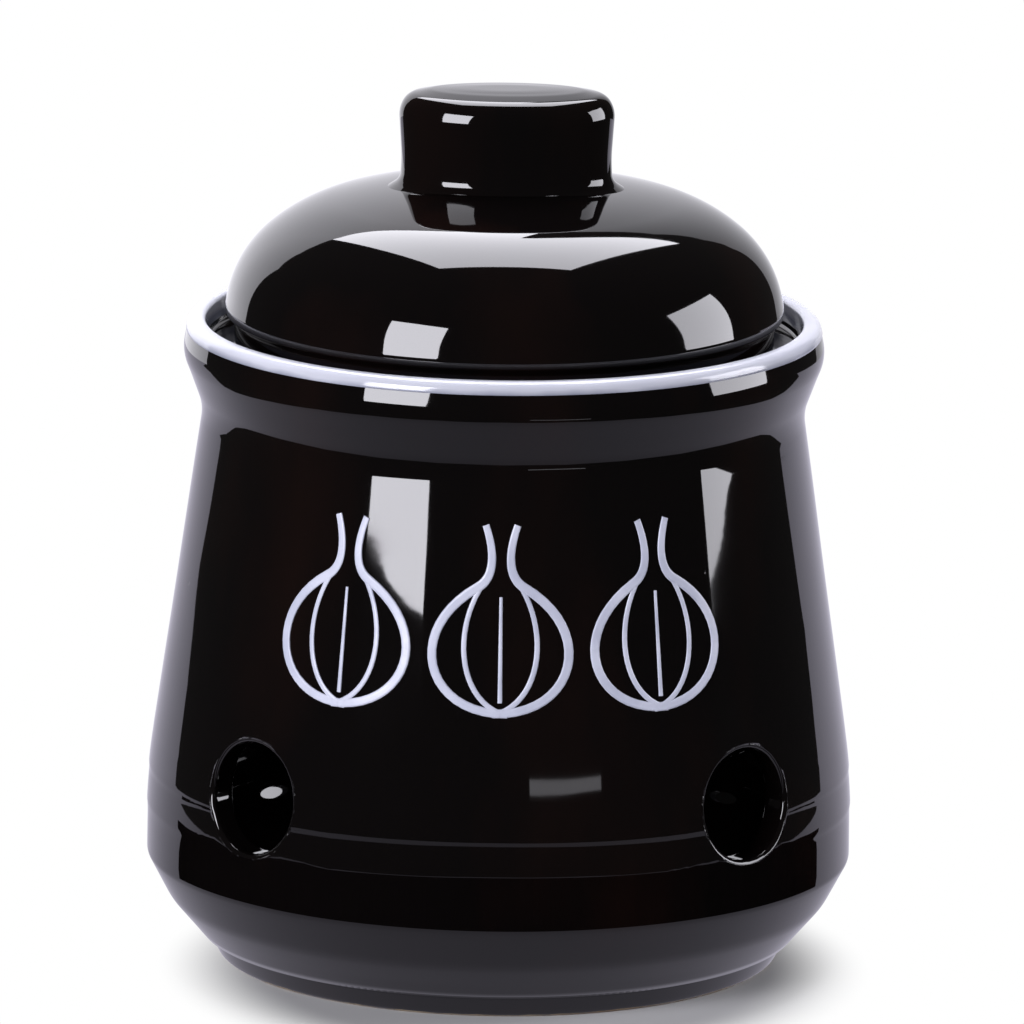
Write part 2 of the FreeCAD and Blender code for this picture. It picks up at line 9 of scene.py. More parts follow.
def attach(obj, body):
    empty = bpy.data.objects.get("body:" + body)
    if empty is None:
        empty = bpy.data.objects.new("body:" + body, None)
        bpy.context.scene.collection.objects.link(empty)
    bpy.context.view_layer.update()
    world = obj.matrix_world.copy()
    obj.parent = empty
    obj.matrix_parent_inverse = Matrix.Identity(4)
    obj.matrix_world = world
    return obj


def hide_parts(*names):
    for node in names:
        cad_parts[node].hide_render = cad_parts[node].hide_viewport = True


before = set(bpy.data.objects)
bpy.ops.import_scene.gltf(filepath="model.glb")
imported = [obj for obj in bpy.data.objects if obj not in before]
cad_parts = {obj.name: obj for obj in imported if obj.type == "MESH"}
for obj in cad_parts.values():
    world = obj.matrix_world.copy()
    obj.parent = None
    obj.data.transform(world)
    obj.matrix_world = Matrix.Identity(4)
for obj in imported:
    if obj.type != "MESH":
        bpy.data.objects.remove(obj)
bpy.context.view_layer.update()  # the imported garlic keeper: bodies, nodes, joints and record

# A glazed stoneware garlic keeper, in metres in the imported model's own frame: +Z up, front towards -Y.
# Outlines are written in mm as corners (radius, height, rounding) and turned round the Z axis.

mm = 0.001
hair = 1e-6  # m; points nearer than this are one point


def inward(corners, wall):
    # the inner corners of an outline, moved in square to its sides by the wall, roundings and all
    points = [Vector((radius, height)) for radius, height, rounding in corners]
    moved = []
    for index in range(1, len(points) - 1):
        into = (points[index] - points[index - 1]).normalized()
        out = (points[index + 1] - points[index]).normalized()
        square = Vector((-into.y - out.y, into.x + out.x)) / (1 + into.dot(out))
        spot = points[index] + square * wall
        left = into.x * out.y - into.y * out.x > 0
        moved.append((spot.x, spot.y, corners[index][2] + (-wall if left else wall)))
    return moved


def penLine(bm, pen, target, step):
    # a straight line from the pen to the target, in even steps
    start = pen.co.copy()
    count = max(1, round((target - start).length / step))
    for part in range(1, count + 1):
        pen = bmesh.ops.extrude_vert_indiv(bm, verts=[pen])["verts"][0]
        pen.co = start.lerp(target, part / count)
    return pen


def penArc(bm, pen, centre, turn, step):
    # an arc from the pen round the centre, in at least three steps
    steps = max(3, round(abs(turn) * (pen.co - centre).length / step))
    spun = bmesh.ops.spin(bm, geom=[pen], cent=centre, axis=(0, -1, 0), angle=turn, steps=steps)
    return next(item for item in spun["geom_last"] if isinstance(item, bmesh.types.BMVert))


def drawOutline(bm, corners, step, arcStep):
    # straight sides joined by tangent arcs, from the first corner to the last
    points = [Vector((radius, 0, height)) * mm for radius, height, rounding in corners]
    pen = bm.verts.new(points[0])
    for index in range(1, len(points) - 1):
        into = (points[index] - points[index - 1]).normalized()
        out = (points[index + 1] - points[index]).normalized()
        rounding = corners[index][2] * mm
        turn = math.copysign(into.angle(out), into.x * out.z - into.z * out.x)
        setback = rounding * math.tan(abs(turn) / 2)
        arcStart = points[index] - into * setback
        pen = penLine(bm, pen, arcStart, step * mm)
        if rounding > 0:
            centre = arcStart + Vector((-into.z, 0, into.x)) * math.copysign(rounding, turn)
            pen = penArc(bm, pen, centre, turn, arcStep * mm)
    penLine(bm, pen, points[-1], step * mm)


def turnedMesh(corners, piece):
    # an outline swept round the Z axis and closed, also where it meets the axis, with its piece's steps
    bm = bmesh.new()
    drawOutline(bm, corners, piece["step"], piece["arcStep"])
    drawn = bm.verts[:] + bm.edges[:]
    sweep = {"cent": (0, 0, 0), "axis": (0, 0, 1), "angle": math.tau, "steps": piece["turns"]}
    bmesh.ops.spin(bm, geom=drawn, use_merge=True, **sweep)
    bmesh.ops.remove_doubles(bm, verts=bm.verts[:], dist=hair)
    return bm


def outlineRows(corners, piece):
    # an outline's points as (height, radius) from low to high, for asking how wide a wall is
    bm = bmesh.new()
    drawOutline(bm, corners, piece["step"], piece["arcStep"])
    rows = sorted((vert.co.z, vert.co.x) for vert in bm.verts)
    bm.free()
    return rows


def radiusAt(rows, height):
    # the radius between the two rows beside a height, or that of the nearest end
    above = min(max(bisect.bisect(rows, (height, 0)), 1), len(rows) - 1)
    (lowHeight, lowRadius), (highHeight, highRadius) = rows[above - 1], rows[above]
    share = (height - lowHeight) / max(highHeight - lowHeight, hair)
    return lowRadius + (highRadius - lowRadius) * min(max(share, 0), 1)


def finishPiece(bm, name, body, material, nodes):
    # the mesh as a piece: its faces outwards and smooth, riding on its body in place of its nodes
    bmesh.ops.recalc_face_normals(bm, faces=bm.faces[:])
    for face in bm.faces:
        face.smooth = True
    mesh = bpy.data.meshes.new(name)
    bm.to_mesh(mesh)
    bm.free()
    mesh.materials.append(material)
    piece = bpy.data.objects.new(name, mesh)
    bpy.context.scene.collection.objects.link(piece)
    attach(piece, body)
    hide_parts(*nodes)
    return piece


def linear(hexColour):
    # an sRGB hex colour as the linear one that nodes take
    parts = [int(hexColour[place:place + 2], 16) / 255 for place in (1, 3, 5)]
    return [part / 12.92 if part <= 0.04045 else ((part + 0.055) / 1.055) ** 2.4 for part in parts] + [1]


def addNode(tree, kind, settings=None, **links):
    # a node with its settings; an input goes by its name, with _ for a space, or by its place as i0, i1...,
    # and takes a value, an output, or a node, which stands for its first output in use
    node = tree.nodes.new(kind)
    for key, value in (settings or {}).items():
        setattr(node, key, value)
    for key, value in links.items():
        name = key.replace("_", " ")
        if key[1:].isdigit():
            socket = node.inputs[int(key[1:])]
        else:
            socket = next(entry for entry in node.inputs if entry.enabled and entry.name == name)
        if isinstance(value, bpy.types.Node):
            value = next(output for output in value.outputs if output.enabled)
        if isinstance(value, bpy.types.NodeSocket):
            tree.links.new(value, socket)
        else:
            socket.default_value = value
    return node


rgba = {"data_type": "RGBA"}
times = {"operation": "MULTIPLY"}
plus = {"operation": "ADD"}
minus = {"operation": "SUBTRACT"}
white = linear("#ffffff")


def newMaterial(name):
    material = bpy.data.materials.new(name)
    material.use_nodes = True
    material.node_tree.nodes.clear()
    return material, material.node_tree


def perMetre(size):
    # a pattern's scale, from the size of its features in mm
    return 1 / (size * mm)


def finishMaterial(tree, colour, roughness, height):
    # one fired surface from its colour, its roughness and its relief in mm, with the IOR of a glaze
    bump = addNode(tree, "ShaderNodeBump", Strength=1.0, Distance=mm, Height=height)
    look = {"Base_Color": colour, "Roughness": roughness, "IOR": 1.5, "Normal": bump}
    shader = addNode(tree, "ShaderNodeBsdfPrincipled", **look)
    addNode(tree, "ShaderNodeOutputMaterial", Surface=shader)


glaze = {
    "black": "#080606",
    "thinBrown": "#130a08",
    "thinSize": 24.0,  # mm across a place where it ran thin
    "thinning": {"From_Min": 0.5, "From_Max": 0.8},  # of the noise, from where it begins to thin
    "run": 3.0,  # how much longer than wide such a place is, because the glaze runs down
    "swellSize": 15.0,  # the slow swell that a glaze sets with
    "swellDepth": 0.030,
    "peelSize": 3.2,
    "peelDepth": 0.0012,
    "pinholeSpacing": 9.0,
    "pinholeRadius": 0.30,
    "pinholeFloor": 0.3,  # share of that radius which is flat
    "pinholeDepth": 0.12,
    "pinholeless": 0.75,  # share of the places that have none
    "roughness": {"From_Min": 0.35, "From_Max": 0.7, "To_Min": 0.018, "To_Max": 0.045},  # from noise
}


def blackGlazeLook(tree, place):
    # iron-black gloss glaze: its colour, roughness and relief
    streaks = addNode(tree, "ShaderNodeMapping", Vector=place, Scale=(1, 1, 1 / glaze["run"]))
    thinScale = perMetre(glaze["thinSize"])
    runs = addNode(tree, "ShaderNodeTexNoise", Vector=streaks, Scale=thinScale, Detail=3.0)
    thin = addNode(tree, "ShaderNodeMapRange", Value=runs, **glaze["thinning"])
    black, brown = linear(glaze["black"]), linear(glaze["thinBrown"])
    colour = addNode(tree, "ShaderNodeMix", rgba, Factor=thin, A=black, B=brown)

    holeScale = perMetre(glaze["pinholeSpacing"])
    holes = addNode(tree, "ShaderNodeTexVoronoi", Vector=place, Scale=holeScale, Randomness=1.0)
    rim = glaze["pinholeRadius"] / glaze["pinholeSpacing"]
    side = {"From_Min": rim * glaze["pinholeFloor"], "From_Max": rim, "To_Min": 1.0, "To_Max": 0.0}
    pit = addNode(tree, "ShaderNodeMapRange", Value=holes, **side)
    pick = addNode(tree, "ShaderNodeSeparateColor", Color=holes.outputs["Color"])
    chosen = {"operation": "GREATER_THAN"}
    rare = addNode(tree, "ShaderNodeMath", chosen, i0=pick, i1=glaze["pinholeless"])
    pinhole = addNode(tree, "ShaderNodeMath", times, i0=pit, i1=rare)
    hole = addNode(tree, "ShaderNodeMath", times, i0=pinhole, i1=-glaze["pinholeDepth"])

    swellScale = perMetre(glaze["swellSize"])
    swelling = addNode(tree, "ShaderNodeTexNoise", Vector=place, Scale=swellScale, Detail=0.0)
    swell = addNode(tree, "ShaderNodeMath", times, i0=swelling, i1=glaze["swellDepth"])
    peelScale = perMetre(glaze["peelSize"])
    peeling = addNode(tree, "ShaderNodeTexNoise", Vector=place, Scale=peelScale, Detail=1.0)
    peel = addNode(tree, "ShaderNodeMath", times, i0=peeling, i1=glaze["peelDepth"])
    waves = addNode(tree, "ShaderNodeMath", plus, i0=swell, i1=peel)
    height = addNode(tree, "ShaderNodeMath", plus, i0=waves, i1=hole)

    dulling = addNode(tree, "ShaderNodeTexNoise", Vector=place, Scale=thinScale, Detail=2.0)
    roughness = addNode(tree, "ShaderNodeMapRange", Value=dulling, **glaze["roughness"])
    return colour, roughness, height


def dippedBlackGlaze():
    # stoneware dipped in an iron-black gloss glaze: mirror-like and nearly black, with a slow swell that
    # bends reflections, a hint of brown where it ran thin, and a pinhole here and there
    material, tree = newMaterial("dippedBlackGlaze")
    place = addNode(tree, "ShaderNodeTexCoord").outputs["Object"]
    finishMaterial(tree, *blackGlazeLook(tree, place))
    return material


bandGlaze = {
    "full": "#c5c7d2",
    "thin": "#868a9b",
    "pool": "#cdcfd9",
    "poolSize": 16.0,
    "pooling": {"From_Min": 0.35, "From_Max": 0.7},  # of the noise, from where it begins to pool
    "edge": (111.35, 112.45),  # height in mm where it thins out, and where it is full
    "edgeWander": 0.5,
    "wanderSize": 9.0,
    "wandering": {"From_Min": 0.3, "From_Max": 0.7},  # of the noise, from where its edge begins to rise
    "swellDepth": 0.02,
    "roughness": 0.1,
}


def brushedPaleGlaze():
    # a pale blue-grey glaze brushed over the black one: opaque and glossy, pooled a little unevenly, and
    # greyer at its lower edge where the black shows through
    material, tree = newMaterial("brushedPaleGlaze")
    place = addNode(tree, "ShaderNodeTexCoord").outputs["Object"]
    up = addNode(tree, "ShaderNodeSeparateXYZ", Vector=place).outputs["Z"]
    brushing = addNode(tree, "ShaderNodeTexNoise", Vector=place, Scale=perMetre(bandGlaze["wanderSize"]))
    most = bandGlaze["edgeWander"] * mm
    wander = addNode(tree, "ShaderNodeMapRange", Value=brushing, To_Max=most, **bandGlaze["wandering"])
    level = addNode(tree, "ShaderNodeMath", minus, i0=up, i1=wander)
    low, full = (height * mm for height in bandGlaze["edge"])
    cover = addNode(tree, "ShaderNodeMapRange", Value=level, From_Min=low, From_Max=full)

    pooling = addNode(tree, "ShaderNodeTexNoise", Vector=place, Scale=perMetre(bandGlaze["poolSize"]))
    pool = addNode(tree, "ShaderNodeMapRange", Value=pooling, **bandGlaze["pooling"])
    even, pooled = linear(bandGlaze["full"]), linear(bandGlaze["pool"])
    glazed = addNode(tree, "ShaderNodeMix", rgba, Factor=pool, A=even, B=pooled)
    colour = addNode(tree, "ShaderNodeMix", rgba, Factor=cover, A=linear(bandGlaze["thin"]), B=glazed)
    height = addNode(tree, "ShaderNodeMath", times, i0=brushing, i1=bandGlaze["swellDepth"])
    finishMaterial(tree, colour, bandGlaze["roughness"], height)
    return material


enamel = {
    "full": "#d3d6e6",
    "worn": "#bdc1d3",
    "patchSize": 7.0,
    "wearing": {"From_Min": 0.35, "From_Max": 0.65},  # of the noise, from where the tone begins to fall
    "grainSize": 0.5,  # coarser than fired colour is, so that its slight tooth shows
    "grainDepth": 0.004,
    "roughness": {"To_Min": 0.22, "To_Max": 0.38},  # where it is full, and where it is worn
}


def firedOnEnamel():
    # ceramic colour laid on the glaze and fired once more: opaque, satin beside the gloss round it, with
    # a little tooth and the tone a touch uneven from stroke to stroke
    material, tree = newMaterial("firedOnEnamel")
    place = addNode(tree, "ShaderNodeTexCoord").outputs["Object"]
    patchScale = perMetre(enamel["patchSize"])
    patches = addNode(tree, "ShaderNodeTexNoise", Vector=place, Scale=patchScale, Detail=3.0)
    patch = addNode(tree, "ShaderNodeMapRange", Value=patches, **enamel["wearing"])
    full, worn = linear(enamel["full"]), linear(enamel["worn"])
    colour = addNode(tree, "ShaderNodeMix", rgba, Factor=patch, A=full, B=worn)
    roughness = addNode(tree, "ShaderNodeMapRange", Value=patch, **enamel["roughness"])
    tooth = addNode(tree, "ShaderNodeTexNoise", Vector=place, Scale=perMetre(enamel["grainSize"]))
    grain = addNode(tree, "ShaderNodeMath", times, i0=tooth, i1=enamel["grainDepth"])
    finishMaterial(tree, colour, roughness, grain)
    return material


clay = {
    "body": "#b6a58a",
    "toast": "#9a8163",
    "toastSize": 18.0,
    "toasting": {"From_Min": 0.4, "From_Max": 0.68},  # of the noise, from where it begins to be toasted
    "speck": "#4a3626",
    "speckSpacing": 1.6,
    "speckRadius": 0.22,
    "speckCore": 0.6,  # share of that radius which is fully dark
    "gritSize": 0.45,
    "gritDepth": 0.05,
    "roughness": 0.85,
    "glazeLine": (0.05, 0.25),  # mm above the ground where the glaze begins, and where it covers
    "glazeWander": 0.3,
    "wanderSize": 7.0,
    "wandering": {"From_Min": 0.3, "From_Max": 0.7},  # of the noise, from where that line begins to rise
}


def clayLook(tree, place):
    # bare fired stoneware: buff, toasted in places, with iron specks and a dry grit
    toastScale = perMetre(clay["toastSize"])
    toasting = addNode(tree, "ShaderNodeTexNoise", Vector=place, Scale=toastScale, Detail=3.0)
    toast = addNode(tree, "ShaderNodeMapRange", Value=toasting, **clay["toasting"])
    buff, brown = linear(clay["body"]), linear(clay["toast"])
    body = addNode(tree, "ShaderNodeMix", rgba, Factor=toast, A=buff, B=brown)
    specks = addNode(tree, "ShaderNodeTexVoronoi", Vector=place, Scale=perMetre(clay["speckSpacing"]))
    rim = clay["speckRadius"] / clay["speckSpacing"]
    edge = {"From_Min": rim * clay["speckCore"], "From_Max": rim, "To_Min": 1.0, "To_Max": 0.0}
    speck = addNode(tree, "ShaderNodeMapRange", Value=specks, **edge)
    colour = addNode(tree, "ShaderNodeMix", rgba, Factor=speck, A=body, B=linear(clay["speck"]))
    gritScale = perMetre(clay["gritSize"])
    gritty = addNode(tree, "ShaderNodeTexNoise", Vector=place, Scale=gritScale, Detail=3.0)
    grit = addNode(tree, "ShaderNodeMath", times, i0=gritty, i1=clay["gritDepth"])
    return colour, grit


def wipedFootClay():
    # the foot: dipped in the black glaze with the rest, then wiped back to bare clay where it stands, so
    # the gloss ends in a wavering line just above the ground
    material, tree = newMaterial("wipedFootStoneware")
    place = addNode(tree, "ShaderNodeTexCoord").outputs["Object"]
    up = addNode(tree, "ShaderNodeSeparateXYZ", Vector=place).outputs["Z"]
    wiping = addNode(tree, "ShaderNodeTexNoise", Vector=place, Scale=perMetre(clay["wanderSize"]))
    most = clay["glazeWander"] * mm
    wander = addNode(tree, "ShaderNodeMapRange", Value=wiping, To_Max=most, **clay["wandering"])
    level = addNode(tree, "ShaderNodeMath", minus, i0=up, i1=wander)
    begins, covers = (height * mm for height in clay["glazeLine"])
    glazed = addNode(tree, "ShaderNodeMapRange", Value=level, From_Min=begins, From_Max=covers)
    bareColour, bareHeight = clayLook(tree, place)
    glazeColour, glazeRoughness, glazeHeight = blackGlazeLook(tree, place)
    colour = addNode(tree, "ShaderNodeMix", rgba, Factor=glazed, A=bareColour, B=glazeColour)
    roughness = addNode(tree, "ShaderNodeMix", Factor=glazed, A=clay["roughness"], B=glazeRoughness)
    height = addNode(tree, "ShaderNodeMix", Factor=glazed, A=bareHeight, B=glazeHeight)
    finishMaterial(tree, colour, roughness, height)
    return material


blackGlaze = dippedBlackGlaze()
paleGlaze = brushedPaleGlaze()
motifEnamel = firedOnEnamel()
footClay = wipedFootClay()
print("glazes, enamel and clay mixed")


jar = {
    "outside": (  # from the underside's edge up to the crest of the lip
        (52.5, 4.1, 0),
        (58.3, 10.8, 12.0),
        (62.15, 18.1, 2.2),
        (62.0, 34.1, 112.7),
        (52.78, 98.2, 9.58),
        (56.5, 108.2, 7.0),
        (55.3, 113.85, 1.75),
    ),
    "lip": (  # over the crest, down the gallery and through the mouth
        (52.6, 113.85, 0.7),
        (52.5, 109.0, 0.8),
        (45.0, 109.0, 0.8),
        (45.0, 104.0, 0.8),
        (47.78, 99.5, 6.0),
    ),
    "wall": 5.0,
    "floor": 10.1,  # height of the floor inside
    "floorRounding": 12.0,
    "floorTaper": 0.5,  # how much narrower the inside is at the floor than at the belly
    "step": 1.6,  # length of a mesh row on a straight side
    "arcStep": 0.45,
    "turns": 256,  # faces round the jar
}

vents = {
    "azimuths": (45, 135, 225, 315),
    "height": 37.0,
    "radius": 9.75,
    "outerRounding": 0.9,
    "innerRounding": 0.8,
    "patchTurn": 7.5,  # half of the patch that opens in the wall, in degrees round the jar
    "patchRise": 8.0,  # half of its height
    "slack": 1e-4,  # share of the patch by which its own border may miss it
    "reach": 2.2,  # how many patches out the wall's own mesh gives way to the round edge
    "seam": 1.2,  # width of the ring that joins each vent to the inner wall
    "roundingSteps": 7,
    "tunnelSteps": 5,
}

unevenness = {
    "depth": 0.09,  # mm that a thrown wall wanders inwards
    "middle": 0.5,  # share of that depth about which it wanders
    "sizes": (26.0, 11.0),
    "shares": (0.6, 0.2),
    "heights": (6, 106),  # mm between which the wall is as it was thrown; the lip and underside are trimmed
}

rings = {  # the soft ridges that the potter's fingers left low on the belly
    "lowest": 26.2,
    "pitch": 6.7,
    "count": 2,
    "step": 0.22,  # share of the pitch over which a ring steps out; above it the wall eases back
    "rise": 0.19,
    "fading": 0.8,  # what is left of that at the highest ring
    "wander": 0.9,  # mm that a ring strays up and down
    "wanderSize": 40.0,
}


def ventPoint(rows, across, up, depth):
    # a point of a vent in its own frame, a depth below the wall whose rows are given
    radius = radiusAt(rows, vents["height"] * mm + up)
    return Vector((math.sqrt(radius ** 2 - across ** 2) - depth, across, up))


def ventRings():
    # the rings that line a vent, as (radius, depth below a wall, share of the way to the inner wall)
    radius = vents["radius"] * mm
    outer, inner = vents["outerRounding"] * mm, vents["innerRounding"] * mm
    steps = vents["roundingSteps"]
    quarter = [math.pi / 2 * part / steps for part in range(1, steps + 1)]
    lining = [(radius + outer * (1 - math.sin(turn)), outer * (1 - math.cos(turn)), 0) for turn in quarter]
    for part in range(1, vents["tunnelSteps"] + 1):
        lining.append((radius, outer, part / vents["tunnelSteps"]))
    for turn in quarter:
        lining.append((radius + inner * (1 - math.cos(turn)), inner * math.sin(turn) - inner, 1))
    return lining


def openVent(bm, azimuth, outerRows, innerRows):
    # one round vent: the patch goes, the wall around is drawn to a circle, and rings lead through the wall
    turned = Matrix.Rotation(math.radians(azimuth), 4, "Z")
    turned = turned @ Matrix.Translation((0, 0, vents["height"] * mm))
    back = turned.inverted()
    radius = vents["radius"] * mm
    outerRounding, innerRounding = vents["outerRounding"] * mm, vents["innerRounding"] * mm
    shares = {}
    outer = {}
    for vert in bm.verts:
        local = back @ vert.co
        if local.x <= 0:
            continue
        turn = abs(math.degrees(math.atan2(local.y, local.x))) / vents["patchTurn"]
        share = max(turn, abs(local.z) / (vents["patchRise"] * mm))
        if share < vents["reach"]:
            shares[vert] = share
            middle = (radiusAt(outerRows, vert.co.z) + radiusAt(innerRows, vert.co.z)) / 2
            outer[vert] = math.hypot(local.x, local.y) > middle

    inside = {vert for vert, share in shares.items() if share < 1 + vents["slack"]}
    patch = [face for face in bm.faces if all(vert in inside for vert in face.verts)]
    bmesh.ops.delete(bm, geom=patch, context="FACES")
    shares = {vert: share for vert, share in shares.items() if vert.is_valid}

    for vert, share in shares.items():
        local = back @ vert.co
        edge = radius + (outerRounding if outer[vert] else innerRounding + vents["seam"] * mm)
        level = max(share - 1, 0) / (vents["reach"] - 1)
        flat = math.hypot(local.y, local.z)
        grown = (edge + (flat - edge) * level) / flat
        rows = outerRows if outer[vert] else innerRows
        vert.co = turned @ ventPoint(rows, local.y * grown, local.z * grown, 0)

    border = [edge for edge in bm.edges if edge.is_boundary and all(vert in shares for vert in edge.verts)]
    ring = [edge for edge in border if all(outer[vert] for vert in edge.verts)]
    innerBorder = [edge for edge in border if edge not in ring]
    for ringRadius, depth, through in ventRings():
        made = bmesh.ops.extrude_edge_only(bm, edges=ring)["geom"]
        ring = [item for item in made if isinstance(item, bmesh.types.BMEdge) and item.is_boundary]
        outerDepth = depth if through < 1 else outerRounding
        innerDepth = depth if through == 1 and depth <= 0 else -innerRounding
        for vert in {vert for edge in ring for vert in edge.verts}:
            local = back @ vert.co
            angle = math.atan2(local.z, local.y)
            across, up = ringRadius * math.cos(angle), ringRadius * math.sin(angle)
            fromOuter = ventPoint(outerRows, across, up, outerDepth)
            fromInner = ventPoint(innerRows, across, up, innerDepth)
            vert.co = turned @ fromOuter.lerp(fromInner, through)
    bmesh.ops.bridge_loops(bm, edges=ring + innerBorder)


def ringRise(spot):
    # how far the rings stand out at a point of the wall
    stray = noise.noise(spot * perMetre(rings["wanderSize"])) * rings["wander"] * mm
    count = (spot.z + stray - rings["lowest"] * mm) / (rings["pitch"] * mm)
    if not 0 < count < rings["count"]:
        return 0
    share = count % 1
    step = min(share / rings["step"], 1)
    left = 1 - count / rings["count"] * (1 - rings["fading"])
    return rings["rise"] * mm * step * step * (3 - 2 * step) * (1 - share) * left


def throwTheWall(bm, outerRows):
    # the slow unevenness of a thrown wall, all inwards and only outside, and its finger rings
    lowest, highest = (height * mm for height in unevenness["heights"])
    for vert in bm.verts:
        height, radius = vert.co.z, math.hypot(vert.co.x, vert.co.y)
        under = radiusAt(outerRows, height) - radius
        share = 1 - under / (vents["outerRounding"] * mm)
        if share <= 0 or not lowest < height < highest:
            continue
        swell = unevenness["middle"]
        for size, part in zip(unevenness["sizes"], unevenness["shares"]):
            swell += noise.noise(vert.co * perMetre(size)) * part
        inwards = unevenness["depth"] * mm * swell - ringRise(vert.co)
        shrink = 1 - inwards * min(share, 1) / radius
        vert.co.x *= shrink
        vert.co.y *= shrink


def makeJar():
    outside = jar["outside"]
    belly = inward(outside[2:5], jar["wall"])[0]  # the inner wall's corner, from heel, belly and neck
    corner = (belly[0] - jar["floorTaper"], jar["floor"], jar["floorRounding"])
    floor = (corner, (0, jar["floor"], 0))
    outerRows = outlineRows(outside, jar)
    innerRows = outlineRows(jar["lip"][-2:] + (belly,) + floor, jar)
    underside = (0, outside[0][1], 0)
    bm = turnedMesh((underside,) + outside + jar["lip"] + (belly,) + floor, jar)
    for side in (-1, 1):
        height = (vents["height"] + side * vents["patchRise"]) * mm
        everything = bm.verts[:] + bm.edges[:] + bm.faces[:]
        bmesh.ops.bisect_plane(bm, geom=everything, dist=hair, plane_co=(0, 0, height), plane_no=(0, 0, 1))
    for azimuth in vents["azimuths"]:
        openVent(bm, azimuth, outerRows, innerRows)
    throwTheWall(bm, outerRows)
    return finishPiece(bm, "glazedJar", "jar", blackGlaze, ["jar_body"])


foot = {
    "section": (
        (49.0, 4.1, 0), (42.0, 4.1, 0), (42.0, 0.0, 0.8), (49.3, 0.0, 1.2), (51.3, 4.1, 0), (49.0, 4.1, 0),
    ),
    "step": 0.7,
    "arcStep": 0.25,
    "turns": 256,
}


def makeFoot():
    bm = turnedMesh(foot["section"], foot)
    return finishPiece(bm, "turnedFoot", "jar", footClay, ["foot_ring"])


band = {
    "section": (  # over the crest of the lip, and a little way down inside it
        (54.0, 113.5, 0), (55.0, 113.2, 0.4), (55.4, 111.8, 0.0), (55.86, 111.85, 0.1), (55.44, 114.0, 1.9),
        (52.45, 114.0, 0.8), (52.36, 110.3, 0.06), (52.62, 110.2, 0), (52.9, 113.2, 0), (54.0, 113.5, 0),
    ),
    "step": 0.5,
    "arcStep": 0.15,
    "turns": 288,
}


def makeBand():
    bm = turnedMesh(band["section"], band)
    return finishPiece(bm, "paleRimBand", "jar", paleGlaze, ["rim_band"])


lid = {
    "outside": (  # from the seat up to the hole in the crown
        (47.4, 109.2, 0.8),
        (47.4, 113.7, 0.8),
        (48.93, 114.8, 0.8),
        (49.08, 116.3, 2.4),
        (47.15, 125.3, 19.9),
        (36.43, 133.78, 29.0),
        (19.53, 138.2, 86.0),
        (8.0, 138.2, 0),
    ),
    "flangeInner": 40.0,
    "flangeOuter": 44.0,  # where the outline starts and closes, hidden by the flange
    "wall": 4.5,
    "holeRadius": 8.0,  # of the round hole in the crown, before it is drawn out to the knob's oval
    "hole": (13.8, 6.7),  # half of that oval's length and depth
    "holeFade": 18.0,  # where the crown's mesh is round again
    "crownFrom": 120.0,  # height above which it is crown
    "step": 1.6,
    "arcStep": 0.5,
    "turns": 288,
}


def crownRows(corners):
    # a dome's points as (radius, height) from the middle out
    return sorted((radius, height) for height, radius in outlineRows(corners, lid))


def ovalCrown(bm, outerRows, innerRows):
    # the crown's round hole drawn out to the oval of the hollow knob, along the dome
    low, high = lid["holeRadius"] * mm, lid["holeFade"] * mm
    for vert in bm.verts:
        radius = math.hypot(vert.co.x, vert.co.y)
        if radius >= high or vert.co.z < lid["crownFrom"] * mm:
            continue
        share = min((high - radius) / (high - low), 1)
        rows = outerRows if vert.co.z > radiusAt(outerRows, radius) - lid["wall"] / 2 * mm else innerRows
        lift = vert.co.z - radiusAt(rows, radius)
        vert.co.x *= 1 + (lid["hole"][0] / lid["holeRadius"] - 1) * share
        vert.co.y *= 1 + (lid["hole"][1] / lid["holeRadius"] - 1) * share
        vert.co.z = radiusAt(rows, math.hypot(vert.co.x, vert.co.y)) + lift


def makeLid():
    outside = lid["outside"]
    inside = tuple(reversed(inward(outside, lid["wall"])[2:]))  # without the step above the seat
    innerCrown = (lid["holeRadius"], outside[-1][1] - lid["wall"], 0)
    inside = (innerCrown,) + inside + ((lid["flangeInner"], outside[0][1], 0),)
    start = (lid["flangeOuter"], outside[0][1], 0)
    bm = turnedMesh((start,) + outside + inside + (start,), lid)
    ovalCrown(bm, crownRows(outside[4:]), crownRows(inside[:4]))  # the dome's corners, four of each
    return finishPiece(bm, "glazedLid", "lid", blackGlaze, ["lid_shell"])


flange = {
    "section": (
        (42.0, 109.2, 0), (40.0, 109.2, 0), (40.0, 103.2, 1.2), (44.0, 103.2, 1.2), (44.0, 109.2, 0),
        (42.0, 109.2, 0),
    ),
    "step": 1.0,
    "arcStep": 0.3,
    "turns": 256,
}


def makeFlange():
    bm = turnedMesh(flange["section"], flange)
    return finishPiece(bm, "locatingFlange", "lid", blackGlaze, ["lid_flange"])


knob = {
    "outside": (  # half of the section along the knob, from the skirt in the dome up to the crowned top
        (22.3, 136.3, 0),
        (18.6, 138.7, 2.4),
        (18.4, 142.8, 30.0),
        (18.95, 151.2, 5.0),
        (17.6, 153.9, 3.2),
        (13.5, 154.75, 7.0),
        (8.0, 154.96, 140.0),
        (0, 154.96, 0),
    ),
    "hollow": ((13.8, 137.0, 0), (13.8, 150.4, 3.0), (0, 150.4, 0)),
    "hollowSqueeze": 13.4 / 27.6,  # its depth to its length
    "flatten": 7.1,  # taken off each side's depth, so that the edge is rounded alike all round
    "flattenFrom": 12.0,  # radius inside which the top is drawn in evenly
    "step": 0.9,
    "arcStep": 0.35,
    "turns": 192,
}


